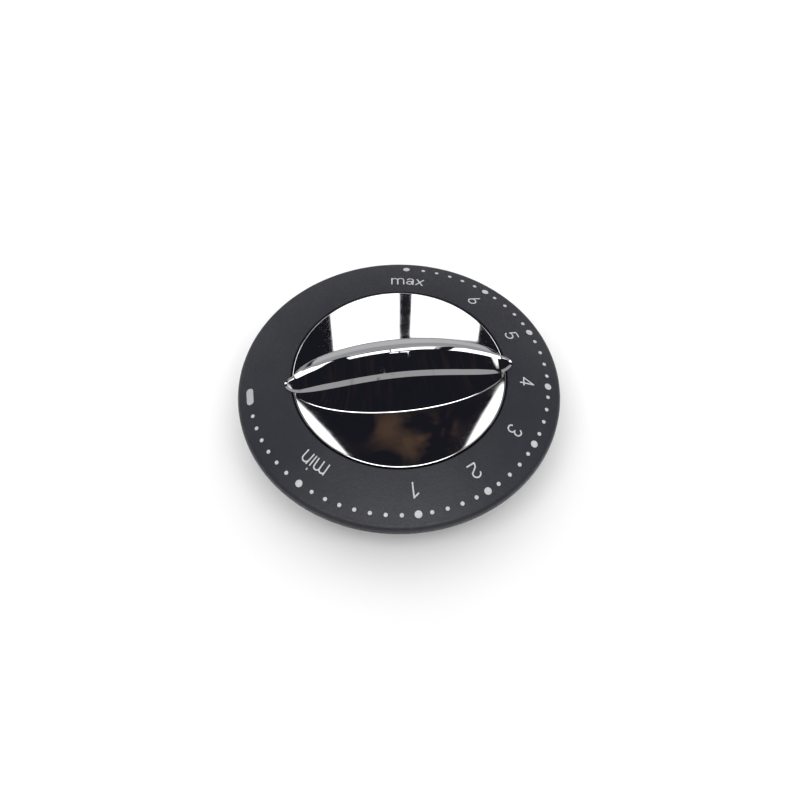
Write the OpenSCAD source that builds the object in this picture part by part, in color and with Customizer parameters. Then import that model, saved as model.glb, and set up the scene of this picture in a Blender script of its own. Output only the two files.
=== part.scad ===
// Skirted rotary control dial with a chrome bar grip, on its 24 mm rotary control and bracket.
// Z runs along the spindle towards the face of the dial; z = 0 is the front face of the bracket.
// The dial stands at "off": its bar grip lies along X and the off mark is at -X.

/* [Dial] */
// Diameter of the skirt's rim
skirt_d = 66; // [54:0.5:80]
// Width of the scale band between the rim and the cap's seat
band_w = 11.1; // [9.2:0.1:14]
// Radius of the skirt's domed face
dome_r = 89; // [75:1:130]
// Height of the rim's edge, up to the dome
rim_h = 1.6; // [1.4:0.1:3]
// Radius that rounds the rim's upper edge
rim_round = 1.2; // [0.4:0.1:1.3]
// Wall of the skirt
skirt_wall = 1.6; // [1.2:0.1:2]
// Thickness of the web under the cap
web_t = 1.5; // [1:0.1:2]
// Space for a panel between the bracket and the rim
rim_gap = 5; // [4.6:0.1:8]
// Ribs inside the skirt
rib_count = 8; // [4:1:12]

/* [Grip cap] */
// Thickness of the cap's disc
cap_t = 1.8; // [1.4:0.1:2.4]
// Gap round the cap's disc
cap_gap = 0.3; // [0.1:0.05:0.5]
// How far each nose of the grip overhangs the disc
nose_out = 1.5; // [0.5:0.1:2.5]
// Radius of the nose, seen from above
nose_r = 2.3; // [1.8:0.1:2.8]
// Height of the nose over the disc
nose_h = 0.5; // [0.4:0.05:1]
// Height of the grip over the disc at the spindle
grip_h = 5.25; // [4.6:0.05:6.5]
// Width of the grip's foot at the spindle
grip_foot_w = 17.8; // [16.5:0.1:20]
// Width of the grip across its upper edges at the spindle
grip_top_w = 8; // [7:0.1:9]
// Width of the grip's foot where it meets the disc's edge
grip_end_w = 6.6; // [5.6:0.1:8]
// How far beyond the disc the ellipse reaches that draws in the ends of the foot
foot_out = 0.5; // [0.2:0.1:1]
// Radius of the grip's arched top
arch_r = 48.4; // [42:0.2:70]
// Width of the bevel along each upper edge
bevel_w = 1; // [0.4:0.1:1.4]
// Drop of the bevel over its width
bevel_h = 0.35; // [0.1:0.05:0.5]
// Wall of the hollow cap
cap_wall = 1.8; // [1.4:0.1:2]

/* [Scale] */
// Turn from the off mark to the end of the scale
travel = 260; // [240:1:280]
// Distance of the dot ring from the rim
dot_edge = 2.66; // [2:0.02:3.2]
// Diameter of a numbered dot
big_dot_d = 1.45; // [1:0.05:2]
// Diameter of a dot between numbers
small_dot_d = 0.85; // [0.5:0.05:1.2]
// Angle between neighbouring small dots
dot_pitch = 5.7; // [5:0.1:6]
// Distance of the figures' foot from the cap's disc
figure_gap = 2.8; // [2:0.1:3.2]
// Height of the figures
figure_h = 3.1; // [2.4:0.1:3.6]
// Height of the small letters
letter_h = 2.45; // [2:0.05:2.8]
// Stroke of the figures and letters
stroke_w = 0.32; // [0.3:0.01:0.6]
// Space between letters
letter_gap = 0.42; // [0.3:0.02:0.7]
// Thickness of the print
print_t = 0.08; // [0.04:0.01:0.15]
// Length of the off mark
off_mark_l = 3.9; // [2:0.1:5]
// Width of the off mark
off_mark_w = 1.5; // [1:0.1:2]

/* [Hub and shaft] */
// Diameter of the shaft
shaft_d = 6; // [5:0.1:6.4]
// Depth of the flat on the shaft
flat_depth = 1.5; // [1:0.1:2]
// Diameter of the hub below the web
hub_d = 10.6; // [10:0.1:12]
// Length of the hub's key along the grip
key_l = 16; // [12:0.5:17]
// Diameter of a cap screw's shank
screw_d = 2.2; // [1.8:0.1:2.4]
// Diameter of a cap screw's head
screw_head_d = 5; // [4.2:0.1:5.2]
// Distance between the two cap screws
screw_span = 26; // [24:0.5:27]

/* [Bush, nut and bracket] */
// Diameter of the threaded bush
bush_d = 10; // [9:0.1:12]
// Height of the bush over the bracket
bush_h = 3.7; // [3.6:0.1:4]
// Width of the nut across its flats
nut_af = 14; // [13:0.5:15]
// Thickness of the nut
nut_t = 2.4; // [1.8:0.1:2.6]
// Diameter of the lock washer
washer_d = 15.2; // [14:0.1:16]
// Thickness of the lock washer
washer_t = 0.7; // [0.4:0.1:0.9]
// Thickness of the bracket
bracket_t = 1.2; // [0.8:0.1:2]
// Distance between the bracket's two screw holes
bracket_span = 44; // [40:0.5:50]
// Diameter of the bracket's screw holes
bracket_hole_d = 3.5; // [3:0.1:4.5]
// Width of the bracket's arms
bracket_w = 10; // [9:0.5:14]

/* [Control] */
// Diameter of the rear case
case_d = 24.8; // [24:0.2:30]
// Wall of the rear case
case_wall = 0.5; // [0.4:0.05:0.8]
// Thickness of the bush plate's flange
plate_t = 1.2; // [0.8:0.1:1.8]
// Thickness of the wafer
wafer_t = 1.6; // [1:0.1:2]
// Space between the wafer and the rotor
wiper_gap = 1.35; // [1.2:0.05:2]
// Thickness of the rotor
rotor_t = 1.6; // [1.2:0.1:2.4]
// Pitch of the terminals
terminal_pitch = 7.5; // [5.5:0.1:7.8]
// Width of a terminal
terminal_w = 2.6; // [2:0.1:3.2]
// Length of a terminal beyond the wafer
terminal_l = 6.2; // [4:0.1:8]

/* [Hidden] */
$fn = 96;

// Clearances and small allowances
run_gap = 0.04;        // running fit of the shaft in the bush
slip = 0.05;           // fit of a fixed pin in its hole
face_gap = 0.1;        // between faces that slide past each other
cut = 0.5;             // how far a cutting body stands out of what it cuts

// Skirt: the dome is a sphere that meets the rim at rim_h
skirt_r = skirt_d / 2;
seat_r = skirt_r - band_w;
cap_r = seat_r - cap_gap;
function dome_z(r, inset = 0) =
    rim_gap + rim_h - sqrt(pow(dome_r, 2) - pow(skirt_r, 2)) + sqrt(pow(dome_r - inset, 2) - pow(r, 2));
function dome_tilt(r) = asin(r / dome_r);
disc_top = dome_z(cap_r);
web_top = disc_top - cap_t;
web_bottom = web_top - web_t;

// Grip: two upright cones make the flanks, wheels about the Y axis make the arched top and bevels
end_x = sqrt(pow(cap_r, 2) - pow(grip_end_w / 2, 2));
foot_drop = (grip_foot_w - grip_end_w) / 2;
side_r = (pow(end_x, 2) + pow(foot_drop, 2)) / (2 * foot_drop);
edge_h = grip_h - bevel_h;
flank_slope = (grip_foot_w - grip_top_w) / 2 / edge_h;
bevel_slope = bevel_h / bevel_w;
edge_plan_curve = 1 / (side_r - flank_slope * edge_h) - flank_slope / arch_r;
bevel_arch_r = 1 / (1 / arch_r + bevel_slope * edge_plan_curve);
grip_half = cap_r + nose_out;
nose_lift = 0.05;      // height of a nose's underside over the disc
disc_round = 0.35;     // rounding of the disc's edge
hollow_half = cap_r - 4.6;  // half the length of the hollow under the grip

// Screws that hold the cap on the web
screw_x = screw_span / 2;
screw_head_h = 1.4;
screw_in_cap = 2.8;
boss_wall = 1.2;

// Spindle stack, from the bracket forwards
circlip_t = 0.6;
circlip_z = bush_h + face_gap;
groove_depth = 0.6;
hub_bottom = circlip_z + circlip_t + 0.3;
key_top = disc_top + 1.1;
key_gap = 0.15;
shaft_tip = key_top - 0.3;
shaft_r = shaft_d / 2;
flat_y = shaft_r - flat_depth;
leaf_t = 0.35;
leaf_w = 3.6;

// Rotary control, from the bracket backwards
case_r = case_d / 2;
boss_h = 0.7;          // boss of the bush plate, over its flange
boss_r = case_r - 2.4; // leaves room for the case's tabs
plate_front = -bracket_t;
flange_front = plate_front - boss_h;
flange_back = flange_front - plate_t;
wafer_back = flange_back - wafer_t;
track_t = 0.15;
rotor_front = wafer_back - wiper_gap - track_t;
rotor_back = rotor_front - rotor_t;
shaft_end = rotor_back - 0.3;
case_floor = shaft_end - 0.3;
case_back = case_floor - case_wall;
peg_r = 1.2;           // peg that keeps the control from turning in the bracket
peg_y = boss_r - peg_r - cut;
tab_angles = [30, 150, 205, 335];
tab_w = 3.4;           // tabs of the case, folded over the bush plate
tab_t = 0.5;
tab_fold = 1.9;

// Rotor and stops: the lug meets a dent in the case at each end of the travel
spigot_r = shaft_r - 0.8;      // end of the shaft in the rotor, flattened on two sides
spigot_flat = spigot_r - 0.4;
rotor_r = case_r - 2.9;
lug_r = case_r - 1.2;
lug_angle = 24;
dent_angle = 14;
dent_r = case_r - 2.1;
stop_gap = 0.4;        // play at each stop, in degrees
dent_reach = (360 - travel - lug_angle) / 2 - stop_gap;
lug_at_rest = 90 + travel / 2;
wiper_r = 7.2;         // outer radius of the wiper's ring
wiper_t = 0.25;
stake_x = 5.3;         // stakes that hold the wiper on the rotor
stake_r = 0.7;

// Element: track and collector on the wafer, legs out to the terminals
track_r = case_r - 3;
track_w = 2.4;
collector_r = 5.8;
collector_w = 1.6;
leg_w = 2.2;
tongue_w = 2 * terminal_pitch + 4.2;
tongue_y = case_r + 4.2;
rivet_y = case_r + 2.2;
rivet_r = 0.8;
terminal_t = 0.5;
eyelet_r = 0.75;

// Scale: angles run counter-clockwise from the off mark, seen from the front
dot_ring = skirt_r - dot_edge;
figure_r = cap_r + figure_gap + figure_h / 2;
letter_r = cap_r + figure_gap + letter_h / 2;
min_angle = 44;
one_angle = 90;
figure_step = 27;
figure_angles = [for (i = [0:5]) one_angle + i * figure_step];
big_angles = concat([min_angle], figure_angles, [travel]);
first_run = 6;         // small dots between the off mark and "min"
min_run = 7;           // between "min" and "1"
step_run = 4;          // between two figures
last_run = 5;          // between "6" and "max"

function arc(cx, cy, r, a0, a1, n = 10) =
    [for (i = [0:n]) let (a = a0 + (a1 - a0) * i / n) [cx + r * cos(a), cy + r * sin(a)]];
function unit(v) = v / norm(v);
function side(v) = [-v.y, v.x];

// ---------------------------------------------------------------- skirt

module skirt_profile() {
    round_x = skirt_r - rim_round;
    round_z = dome_z(round_x, rim_round);
    edge_tilt = asin(round_x / (dome_r - rim_round));
    inner_r = skirt_r - skirt_wall;
    ring_r = seat_r + skirt_wall;
    steps = 24;
    polygon(concat(
        [[inner_r, rim_gap], [skirt_r, rim_gap]],
        arc(round_x, round_z, rim_round, 0, 90 - edge_tilt, 8),
        [for (i = [1:steps]) let (r = round_x + (seat_r - round_x) * i / steps) [r, dome_z(r)]],
        [[seat_r, web_top], [hub_d / 2 + slip, web_top], [hub_d / 2 + slip, web_bottom]],
        [[ring_r, web_bottom]],
        [for (i = [0:steps]) let (r = ring_r + (inner_r - ring_r) * i / steps) [r, dome_z(r, skirt_wall)]]
    ));
}

module skirt_ribs() {
    rib_t = 1;
    rib_in = seat_r + skirt_wall - cut;
    rib_out = skirt_r - skirt_wall + cut / 2;
    rib_low = rim_gap + rim_h / 2;
    intersection() {
        rotate_extrude() polygon([
            [rib_in, rib_low], [rib_out, rib_low],
            [rib_out, dome_z(rib_out, skirt_wall / 2)], [rib_in, dome_z(rib_in, skirt_wall / 2)]
        ]);
        for (i = [0:rib_count - 1])
            rotate([0, 0, (i + 0.5) * 360 / rib_count])
                translate([0, -rib_t / 2, rim_gap]) cube([skirt_r, rib_t, 2 * rim_gap]);
    }
}

module dial_skirt() {
    color("#3b3f46") difference() {
        union() {
            rotate_extrude() skirt_profile();
            skirt_ribs();
        }
        for (s = [-1, 1])
            translate([s * screw_x, 0, web_bottom - cut])
                cylinder(r = screw_d / 2 + 0.4, h = web_t + 2 * cut);
    }
}

// ---------------------------------------------------------------- scale

// Puts its child on the dome at radius r, with the child's Y axis pointing outwards
module on_dome(r, angle) {
    rotate([0, 0, 180 + angle])
        translate([r, 0, dome_z(r)])
            rotate([0, dome_tilt(r), 0])
                rotate([0, 0, -90]) children();
}

module dot(d, angle) {
    on_dome(dot_ring, angle) cylinder(r = d / 2, h = print_t, $fn = 48);
}

// A run of small dots, centred between two places on the ring
module dot_run(count, centre) {
    for (i = [0:count - 1]) dot(small_dot_d, centre + (i - (count - 1) / 2) * dot_pitch);
}

module scale_dots() {
    first_gap = 1.15 * dot_pitch;    // from the first run to the "min" dot
    last_gap = 0.9 * dot_pitch;      // from the "6" dot to the last run
    color("#e6e6e4") {
        for (a = big_angles) dot(big_dot_d, a);
        dot_run(first_run, min_angle - first_gap - (first_run - 1) / 2 * dot_pitch);
        dot_run(min_run, (min_angle + one_angle) / 2);
        for (i = [0:4]) dot_run(step_run, (figure_angles[i] + figure_angles[i + 1]) / 2);
        dot_run(last_run, figure_angles[5] + last_gap + (last_run - 1) / 2 * dot_pitch);
    }
}

module off_mark() {
    half = off_mark_l / 2 - off_mark_w / 2;
    color("#b9babd") on_dome(dot_ring, 0) linear_extrude(print_t) union() {
        square([2 * half, off_mark_w], center = true);
        for (s = [-1, 1]) translate([s * half, 0]) circle(r = off_mark_w / 2, $fn = 48);
    }
}

// Strokes of each sign: figures on a height of 1, small letters on an x-height of 1
function strokes(c) =
    c == "1" ? [[[0.06, 0.72], [0.36, 0.96]], [[0.36, 1], [0.36, 0]]] :
    c == "2" ? [concat(arc(0.30, 0.71, 0.26, 170, -25), arc(0.80, -0.02, 0.73, 150, 176, 4)),
                [[0.05, 0.07], [0.60, 0.07]]] :
    c == "3" ? [arc(0.28, 0.74, 0.23, 160, -85), arc(0.28, 0.27, 0.24, 85, -160)] :
    c == "4" ? [[[0.46, 1], [0.02, 0.27]], [[0, 0.27], [0.64, 0.27]], [[0.46, 1], [0.46, 0]]] :
    c == "5" ? [[[0.56, 0.94], [0.12, 0.94]], [[0.13, 0.96], [0.08, 0.48]],
                arc(0.29, 0.31, 0.26, 142, -150)] :
    c == "6" ? [arc(0.30, 0.30, 0.25, -5, 185), arc(0.30, 0.30, 0.25, 175, 365), [[0.50, 1], [0.07, 0.40]]] :
    c == "m" ? [[[0.05, 0], [0.05, 1]], arc(0.31, 0.66, 0.26, 180, 0, 8), [[0.57, 0.68], [0.57, 0]],
                arc(0.83, 0.66, 0.26, 180, 0, 8), [[1.09, 0.68], [1.09, 0]]] :
    c == "n" ? [[[0.05, 0], [0.05, 1]], arc(0.36, 0.62, 0.31, 180, 0, 8), [[0.67, 0.64], [0.67, 0]]] :
    c == "i" ? [[[0.08, 0], [0.08, 0.94]], [[0.08, 1.18], [0.08, 1.36]]] :
    c == "a" ? [concat(arc(0.36, 0.66, 0.27, 160, 0, 8), [[0.63, 0.50], [0.63, 0]]),
                arc(0.31, 0.28, 0.23, -5, 185, 8), arc(0.31, 0.28, 0.23, 175, 365, 8),
                [[0.31, 0.51], [0.63, 0.51]]] :
               [[[0.03, 0.03], [0.66, 0.94]], [[0.03, 0.94], [0.66, 0.03]]];
function glyph_w(c) =
    c == "1" ? 0.44 : c == "4" ? 0.66 : c == "m" ? 1.14 : c == "n" ? 0.72 : c == "i" ? 0.16 :
    c == "a" || c == "x" ? 0.69 : 0.60;

// A stroke of even width along a path of points
function path_dir(p, i) =
    let (last = len(p) - 1, back = unit(p[max(i, 1)] - p[max(i, 1) - 1]),
         ahead = unit(p[min(i, last - 1) + 1] - p[min(i, last - 1)]))
    unit(back + ahead);
function path_miter(p, i) =
    let (d = path_dir(p, i), seg = unit(p[max(i, 1)] - p[max(i, 1) - 1])) side(d) / (d * seg);
function ribbon(p, w) = concat(
    [for (i = [0:len(p) - 1]) p[i] + path_miter(p, i) * w / 2],
    [for (i = [len(p) - 1:-1:0]) p[i] - path_miter(p, i) * w / 2]
);

module glyph(c, h) {
    linear_extrude(print_t) translate([-glyph_w(c) * h / 2, -h / 2]) union()
        for (s = strokes(c)) polygon(ribbon(s * h, stroke_w));
}

// Letters set one by one along the band, read clockwise
module word(letters, centre) {
    widths = [for (c = letters) glyph_w(c) * letter_h];
    total = widths[0] + widths[1] + widths[2] + 2 * letter_gap;
    starts = [0, widths[0] + letter_gap, widths[0] + widths[1] + 2 * letter_gap];
    for (i = [0:2]) {
        offset_mm = starts[i] + widths[i] / 2 - total / 2;
        on_dome(letter_r, centre - offset_mm / letter_r * 180 / PI) glyph(letters[i], letter_h);
    }
}

module scale_legend() {
    color("#e6e6e4") {
        for (i = [0:5]) on_dome(figure_r, figure_angles[i]) glyph(str(i + 1), figure_h);
        word(["m", "i", "n"], min_angle);
        word(["m", "a", "x"], travel - 1);
    }
}

// ---------------------------------------------------------------- grip cap

// A wheel about the Y axis whose rim is the arched top, moved in by inset
module arch_wheel(inset) {
    translate([0, 0, disc_top + grip_h - arch_r]) rotate([90, 0, 0])
        cylinder(r = arch_r - inset, h = 2 * grip_foot_w, center = true, $fn = 180);
}

// Two cones about the Y axis, base to base, that cut the bevels; they meet the top bevel_w inside its edges
module bevel_wheel() {
    reach = grip_foot_w;
    peak_r = bevel_arch_r + (grip_top_w / 2 - bevel_w) * bevel_slope;
    low_r = peak_r - reach * bevel_slope;
    translate([0, 0, disc_top + grip_h - bevel_arch_r]) rotate([90, 0, 0])
        rotate_extrude($fn = 180)
            polygon([[0, -reach], [low_r, -reach], [peak_r, 0], [low_r, reach], [0, reach]]);
}

// The space between the two flanks, moved in by inset
module between_flanks(inset) {
    low = web_top - cut;
    high = disc_top + grip_h + cut;
    sideways = inset * sqrt(1 + pow(flank_slope, 2));
    function flank_r(z) = side_r - sideways - (z - disc_top) * flank_slope;
    intersection_for (s = [-1, 1])
        translate([0, s * (side_r - grip_foot_w / 2), low])
            cylinder(r1 = flank_r(low), r2 = flank_r(high), h = high - low, $fn = 180);
}

module grip_bar() {
    intersection() {
        between_flanks(0);
        union() {
            intersection() {
                arch_wheel(0);
                bevel_wheel();
            }
            translate([-grip_half, -grip_foot_w / 2, web_top])
                cube([2 * grip_half, grip_foot_w, cap_t + nose_h]);
        }
        // seen from above: an ellipse that draws in the ends, and the two noses
        translate([0, 0, disc_top - cap_t / 2]) union() {
            scale([(cap_r + foot_out) / (grip_foot_w / 2), 1, 1])
                cylinder(r = grip_foot_w / 2, h = grip_h + cap_t);
            for (s = [-1, 1]) translate([s * (grip_half - nose_r), 0, 0])
                cylinder(r = nose_r, h = grip_h + cap_t);
        }
    }
}

// The hollow inside the cap; the hub's key fills its middle with a clearance
module grip_hollow(extra, half_l) {
    intersection() {
        between_flanks(cap_wall + extra);
        arch_wheel(cap_wall + extra);
        translate([-half_l, -grip_foot_w, web_top - cut])
            cube([2 * half_l, 2 * grip_foot_w, grip_h + cap_t + 2 * cut]);
    }
}

module grip_cap() {
    pilot_top = web_top + screw_in_cap + 0.4;
    color("#c9ccd0") difference() {
        union() {
            difference() {
                union() {
                    rotate_extrude() polygon(concat(
                        [[0, web_top], [cap_r, web_top]],
                        arc(cap_r - disc_round, disc_top - disc_round, disc_round, 0, 90, 6),
                        [[0, disc_top]]
                    ));
                    difference() {
                        grip_bar();
                        // the noses stand clear of the skirt
                        translate([0, 0, web_top - cut]) difference() {
                            cylinder(r = grip_half + cut, h = cap_t + cut + nose_lift);
                            translate([0, 0, -cut]) cylinder(r = cap_r - disc_round, h = 2 * grip_h);
                        }
                    }
                }
                grip_hollow(0, hollow_half);
            }
            intersection() {
                for (s = [-1, 1])
                    translate([s * screw_x, 0, web_top]) cylinder(r = screw_d / 2 + boss_wall, h = grip_h);
                grip_bar_core();
            }
        }
        for (s = [-1, 1])
            translate([s * screw_x, 0, web_top - cut])
                cylinder(r = screw_d / 2 + slip, h = pilot_top - web_top + cut);
    }
}

// The cap's form less half its wall, so that what is added inside stays inside
module grip_bar_core() {
    intersection() {
        between_flanks(cap_wall / 2);
        arch_wheel(cap_wall / 2);
        translate([-hollow_half, -grip_foot_w, web_top])
            cube([2 * hollow_half, 2 * grip_foot_w, grip_h + cap_t]);
    }
}

// ---------------------------------------------------------------- hub, spring and screws

module knob_hub() {
    slot_y = flat_y + slip + leaf_t + 0.25;
    color("#1e1f21") difference() {
        union() {
            translate([0, 0, hub_bottom]) cylinder(r = hub_d / 2, h = web_top - hub_bottom + slip);
            intersection() {
                grip_hollow(key_gap, key_l / 2);
                translate([-key_l, -grip_foot_w, web_top])
                    cube([2 * key_l, 2 * grip_foot_w, key_top - web_top]);
            }
        }
        // D-shaped bore, with a slot for the leaf beyond the flat
        difference() {
            translate([0, 0, hub_bottom - cut])
                cylinder(r = shaft_r + slip, h = key_top - hub_bottom + 2 * cut);
            translate([-shaft_d, flat_y + slip, hub_bottom - 2 * cut])
                cube([2 * shaft_d, shaft_d, key_top - hub_bottom + 4 * cut]);
        }
        translate([-leaf_w / 2 - slip, 0, hub_bottom + 0.8])
            cube([leaf_w + 2 * slip, slot_y, key_top - hub_bottom]);
    }
}

module shaft_spring() {
    leaf_low = hub_bottom + 1;
    leaf_l = key_top - leaf_low - 0.2;
    bow = 0.15;
    bow_r = (pow(leaf_l / 2, 2) + pow(bow, 2)) / (2 * bow);
    half = asin(leaf_l / 2 / bow_r);
    color("#c8c8c4") translate([leaf_w / 2, flat_y + slip, leaf_low]) rotate([0, -90, 0])
        linear_extrude(leaf_w) polygon(concat(
            arc(leaf_l / 2, bow_r, bow_r, 270 - half, 270 + half, 8),
            arc(leaf_l / 2, bow_r, bow_r - leaf_t, 270 + half, 270 - half, 8)
        ));
}

module cap_screws() {
    recess_w = 0.7;
    recess_l = 2.6;
    recess_h = 0.9;
    color("#a8abb0") for (s = [-1, 1]) translate([s * screw_x, 0, web_bottom]) difference() {
        union() {
            cylinder(r = screw_d / 2, h = web_t + screw_in_cap);
            translate([0, 0, -screw_head_h])
                cylinder(r1 = screw_head_d / 2 - 0.5, r2 = screw_head_d / 2, h = screw_head_h);
        }
        for (a = [0, 90]) rotate([0, 0, a])
            translate([-recess_l / 2, -recess_w / 2, -screw_head_h - cut])
                cube([recess_l, recess_w, recess_h + cut]);
    }
}

// ---------------------------------------------------------------- nut, washer and bracket

module bush_nut() {
    corner_r = nut_af / 2 / cos(30);
    chamfer = 0.5;
    color("#b9a26a") difference() {
        intersection() {
            translate([0, 0, washer_t]) cylinder(r = corner_r, h = nut_t, $fn = 6);
            translate([0, 0, washer_t])
                cylinder(r1 = corner_r + 3 * nut_t - chamfer, r2 = corner_r - chamfer, h = nut_t);
        }
        translate([0, 0, washer_t - cut]) cylinder(r = bush_d / 2 + slip, h = nut_t + 2 * cut);
    }
}

module lock_washer() {
    tooth_count = 12;
    tooth_w = 1.2;
    ring_in = bush_d / 2 + 0.9;      // where the teeth grow from
    tooth_in = bush_d / 2 + 0.15;    // where they end, clear of the thread
    color("#b4b7ba") linear_extrude(washer_t) union() {
        difference() {
            circle(r = washer_d / 2);
            circle(r = ring_in);
        }
        for (i = [0:tooth_count - 1]) rotate(i * 360 / tooth_count)
            translate([tooth_in, -tooth_w / 2]) square([ring_in - tooth_in + cut / 2, tooth_w]);
    }
}

module mounting_bracket() {
    mid_d = case_d + 3.2;
    color("#b8bcc0") translate([0, 0, -bracket_t]) linear_extrude(bracket_t) difference() {
        union() {
            circle(r = mid_d / 2);
            square([bracket_span, bracket_w], center = true);
            for (s = [-1, 1]) translate([s * bracket_span / 2, 0]) circle(r = bracket_w / 2);
        }
        circle(r = bush_d / 2 + 0.1);
        translate([0, peg_y]) circle(r = peg_r + 0.15);
        for (s = [-1, 1]) translate([s * bracket_span / 2, 0]) circle(r = bracket_hole_d / 2);
    }
}

// ---------------------------------------------------------------- bush plate, shaft and circlip

module bush_plate() {
    color("#a9acad") difference() {
        union() {
            translate([0, 0, flange_back]) cylinder(r = case_r, h = plate_t);
            translate([0, 0, flange_front - slip]) cylinder(r = boss_r, h = boss_h + slip);
            translate([0, 0, plate_front - slip]) cylinder(r = bush_d / 2, h = bush_h + bracket_t + slip);
            translate([0, peg_y, plate_front - slip]) cylinder(r = peg_r, h = bracket_t - face_gap + slip);
        }
        translate([0, 0, flange_back - cut])
            cylinder(r = shaft_r + run_gap, h = bush_h - flange_back + 2 * cut);
        // notches for the case's tabs
        for (a = tab_angles) rotate([0, 0, a])
            translate([case_r - tab_t - slip, -tab_w / 2 - slip, flange_back - cut])
                cube([2 * tab_t, tab_w + 2 * slip, plate_t + 2 * cut]);
    }
}

module control_shaft() {
    chamfer = 0.5;
    tip_low = shaft_tip - chamfer;
    shoulder = rotor_front + slip;
    riveted_r = spigot_r + 0.3;
    color("#c3c6c9") difference() {
        union() {
            translate([0, 0, shoulder]) cylinder(r = shaft_r, h = tip_low - shoulder);
            translate([0, 0, tip_low]) cylinder(r1 = shaft_r, r2 = shaft_r - chamfer, h = chamfer);
            translate([0, 0, shaft_end]) intersection() {
                cylinder(r = spigot_r, h = shoulder - shaft_end + slip);
                translate([-spigot_r, -spigot_flat, 0])
                    cube([2 * spigot_r, 2 * spigot_flat, shoulder - shaft_end + slip]);
            }
            // riveted end that holds the rotor
            translate([0, 0, shaft_end])
                cylinder(r1 = spigot_r, r2 = riveted_r, h = rotor_back - shaft_end);
        }
        // flat for the hub
        translate([-shaft_d, flat_y, circlip_z + circlip_t + face_gap])
            cube([2 * shaft_d, shaft_d, shaft_tip]);
        // groove for the circlip
        translate([0, 0, circlip_z - slip / 2]) difference() {
            cylinder(r = shaft_r + cut, h = circlip_t + slip);
            translate([0, 0, -cut]) cylinder(r = shaft_r - groove_depth, h = circlip_t + 2 * cut);
        }
    }
}

module shaft_circlip() {
    inner_r = shaft_r - groove_depth + slip;
    outer_r = shaft_r + 1.3;
    mouth = 1.5 * inner_r;
    color("#7d8085") translate([0, 0, circlip_z]) linear_extrude(circlip_t) difference() {
        circle(r = outer_r);
        circle(r = inner_r);
        translate([0, -mouth / 2]) square([2 * outer_r, mouth]);
    }
}

// ---------------------------------------------------------------- rotor and wiper

module rotor() {
    stake_h = wiper_t + 0.2;
    color("#e8e4d8") difference() {
        union() {
            translate([0, 0, rotor_back]) cylinder(r = rotor_r, h = rotor_t);
            rotate([0, 0, lug_at_rest - lug_angle / 2]) translate([0, 0, rotor_back])
                rotate_extrude(angle = lug_angle) translate([spigot_r + cut, 0])
                    square([lug_r - spigot_r - cut, rotor_t]);
            rotate([0, 0, lug_at_rest + 90]) for (s = [-1, 1])
                translate([s * stake_x, 0, rotor_front - cut]) cylinder(r = stake_r, h = stake_h + cut);
        }
        translate([0, 0, rotor_back - cut]) intersection() {
            cylinder(r = spigot_r + slip, h = rotor_t + 2 * cut);
            translate([-shaft_d, -spigot_flat - slip, 0])
                cube([2 * shaft_d, 2 * (spigot_flat + slip), rotor_t + 2 * cut]);
        }
    }
}

// A springy arm in the XZ plane, from radius r0 on the ring up to a contact at radius r1
module wiper_arm(r0, r1) {
    arm_w = 1.6;
    rise = wiper_gap - wiper_t - 0.3;
    run = abs(r1 - r0);
    lean = atan(rise / run);
    pad_h = wiper_gap - wiper_t - face_gap / 2;
    toward = r1 > r0 ? 0 : 180;
    translate([r0, 0, rotor_front]) rotate([0, 0, toward]) {
        rotate([0, -lean, 0]) translate([0, -arm_w / 2, 0]) cube([run / cos(lean), arm_w, wiper_t]);
        translate([run - 0.3, 0, rise * 0.75]) cylinder(r = 0.5, h = pad_h + wiper_t - rise * 0.75, $fn = 32);
    }
}

module wiper_spring() {
    color("#c98b4a") rotate([0, 0, lug_at_rest]) union() {
        translate([0, 0, rotor_front]) linear_extrude(wiper_t) difference() {
            circle(r = wiper_r);
            circle(r = shaft_r + 0.4);
            rotate(90) for (s = [-1, 1]) translate([s * stake_x, 0]) circle(r = stake_r + slip, $fn = 32);
        }
        wiper_arm(wiper_r - 1, track_r + 0.3);
        rotate([0, 0, 180]) wiper_arm(wiper_r - 0.2, collector_r - 0.3);
    }
}

// ---------------------------------------------------------------- wafer, track, collector, terminals

module rivet_holes(r) {
    for (i = [-1:1]) translate([i * terminal_pitch, -rivet_y]) circle(r = r, $fn = 48);
}

module element_wafer() {
    color("#7a4a22") translate([0, 0, wafer_back]) linear_extrude(wafer_t) difference() {
        union() {
            circle(r = case_r - case_wall - slip);
            translate([-tongue_w / 2, -tongue_y]) square([tongue_w, tongue_y - case_r / 2]);
        }
        circle(r = shaft_r + 1);
        rivet_holes(rivet_r + slip);
    }
}

module resistive_track() {
    open_half = 40;    // half of the gap in the horseshoe, in degrees
    end_x = track_r * sin(open_half);
    end_y = track_r * cos(open_half);
    leg_low = rivet_y + leg_w / 2;
    leg_lean = atan((terminal_pitch - end_x) / (leg_low - end_y));
    color("#20201e") translate([0, 0, wafer_back - track_t]) linear_extrude(track_t) difference() {
        union() {
            difference() {
                circle(r = track_r + track_w / 2);
                circle(r = track_r - track_w / 2);
                polygon([
                    [0, 0], [-2 * track_r * tan(open_half), -2 * track_r],
                    [2 * track_r * tan(open_half), -2 * track_r]
                ]);
            }
            for (s = [-1, 1]) translate([s * terminal_pitch, -leg_low]) rotate(s * leg_lean)
                translate([-leg_w / 2, 0]) square([leg_w, leg_low - end_y + leg_w / 2]);
        }
        rivet_holes(rivet_r + slip);
    }
}

module collector_ring() {
    color("#cfd2d4") translate([0, 0, wafer_back - track_t]) linear_extrude(track_t) difference() {
        union() {
            circle(r = collector_r + collector_w / 2);
            translate([-leg_w / 2, -rivet_y - leg_w / 2]) square([leg_w, rivet_y + leg_w / 2]);
        }
        circle(r = collector_r - collector_w / 2);
        rivet_holes(rivet_r + slip);
    }
}

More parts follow.
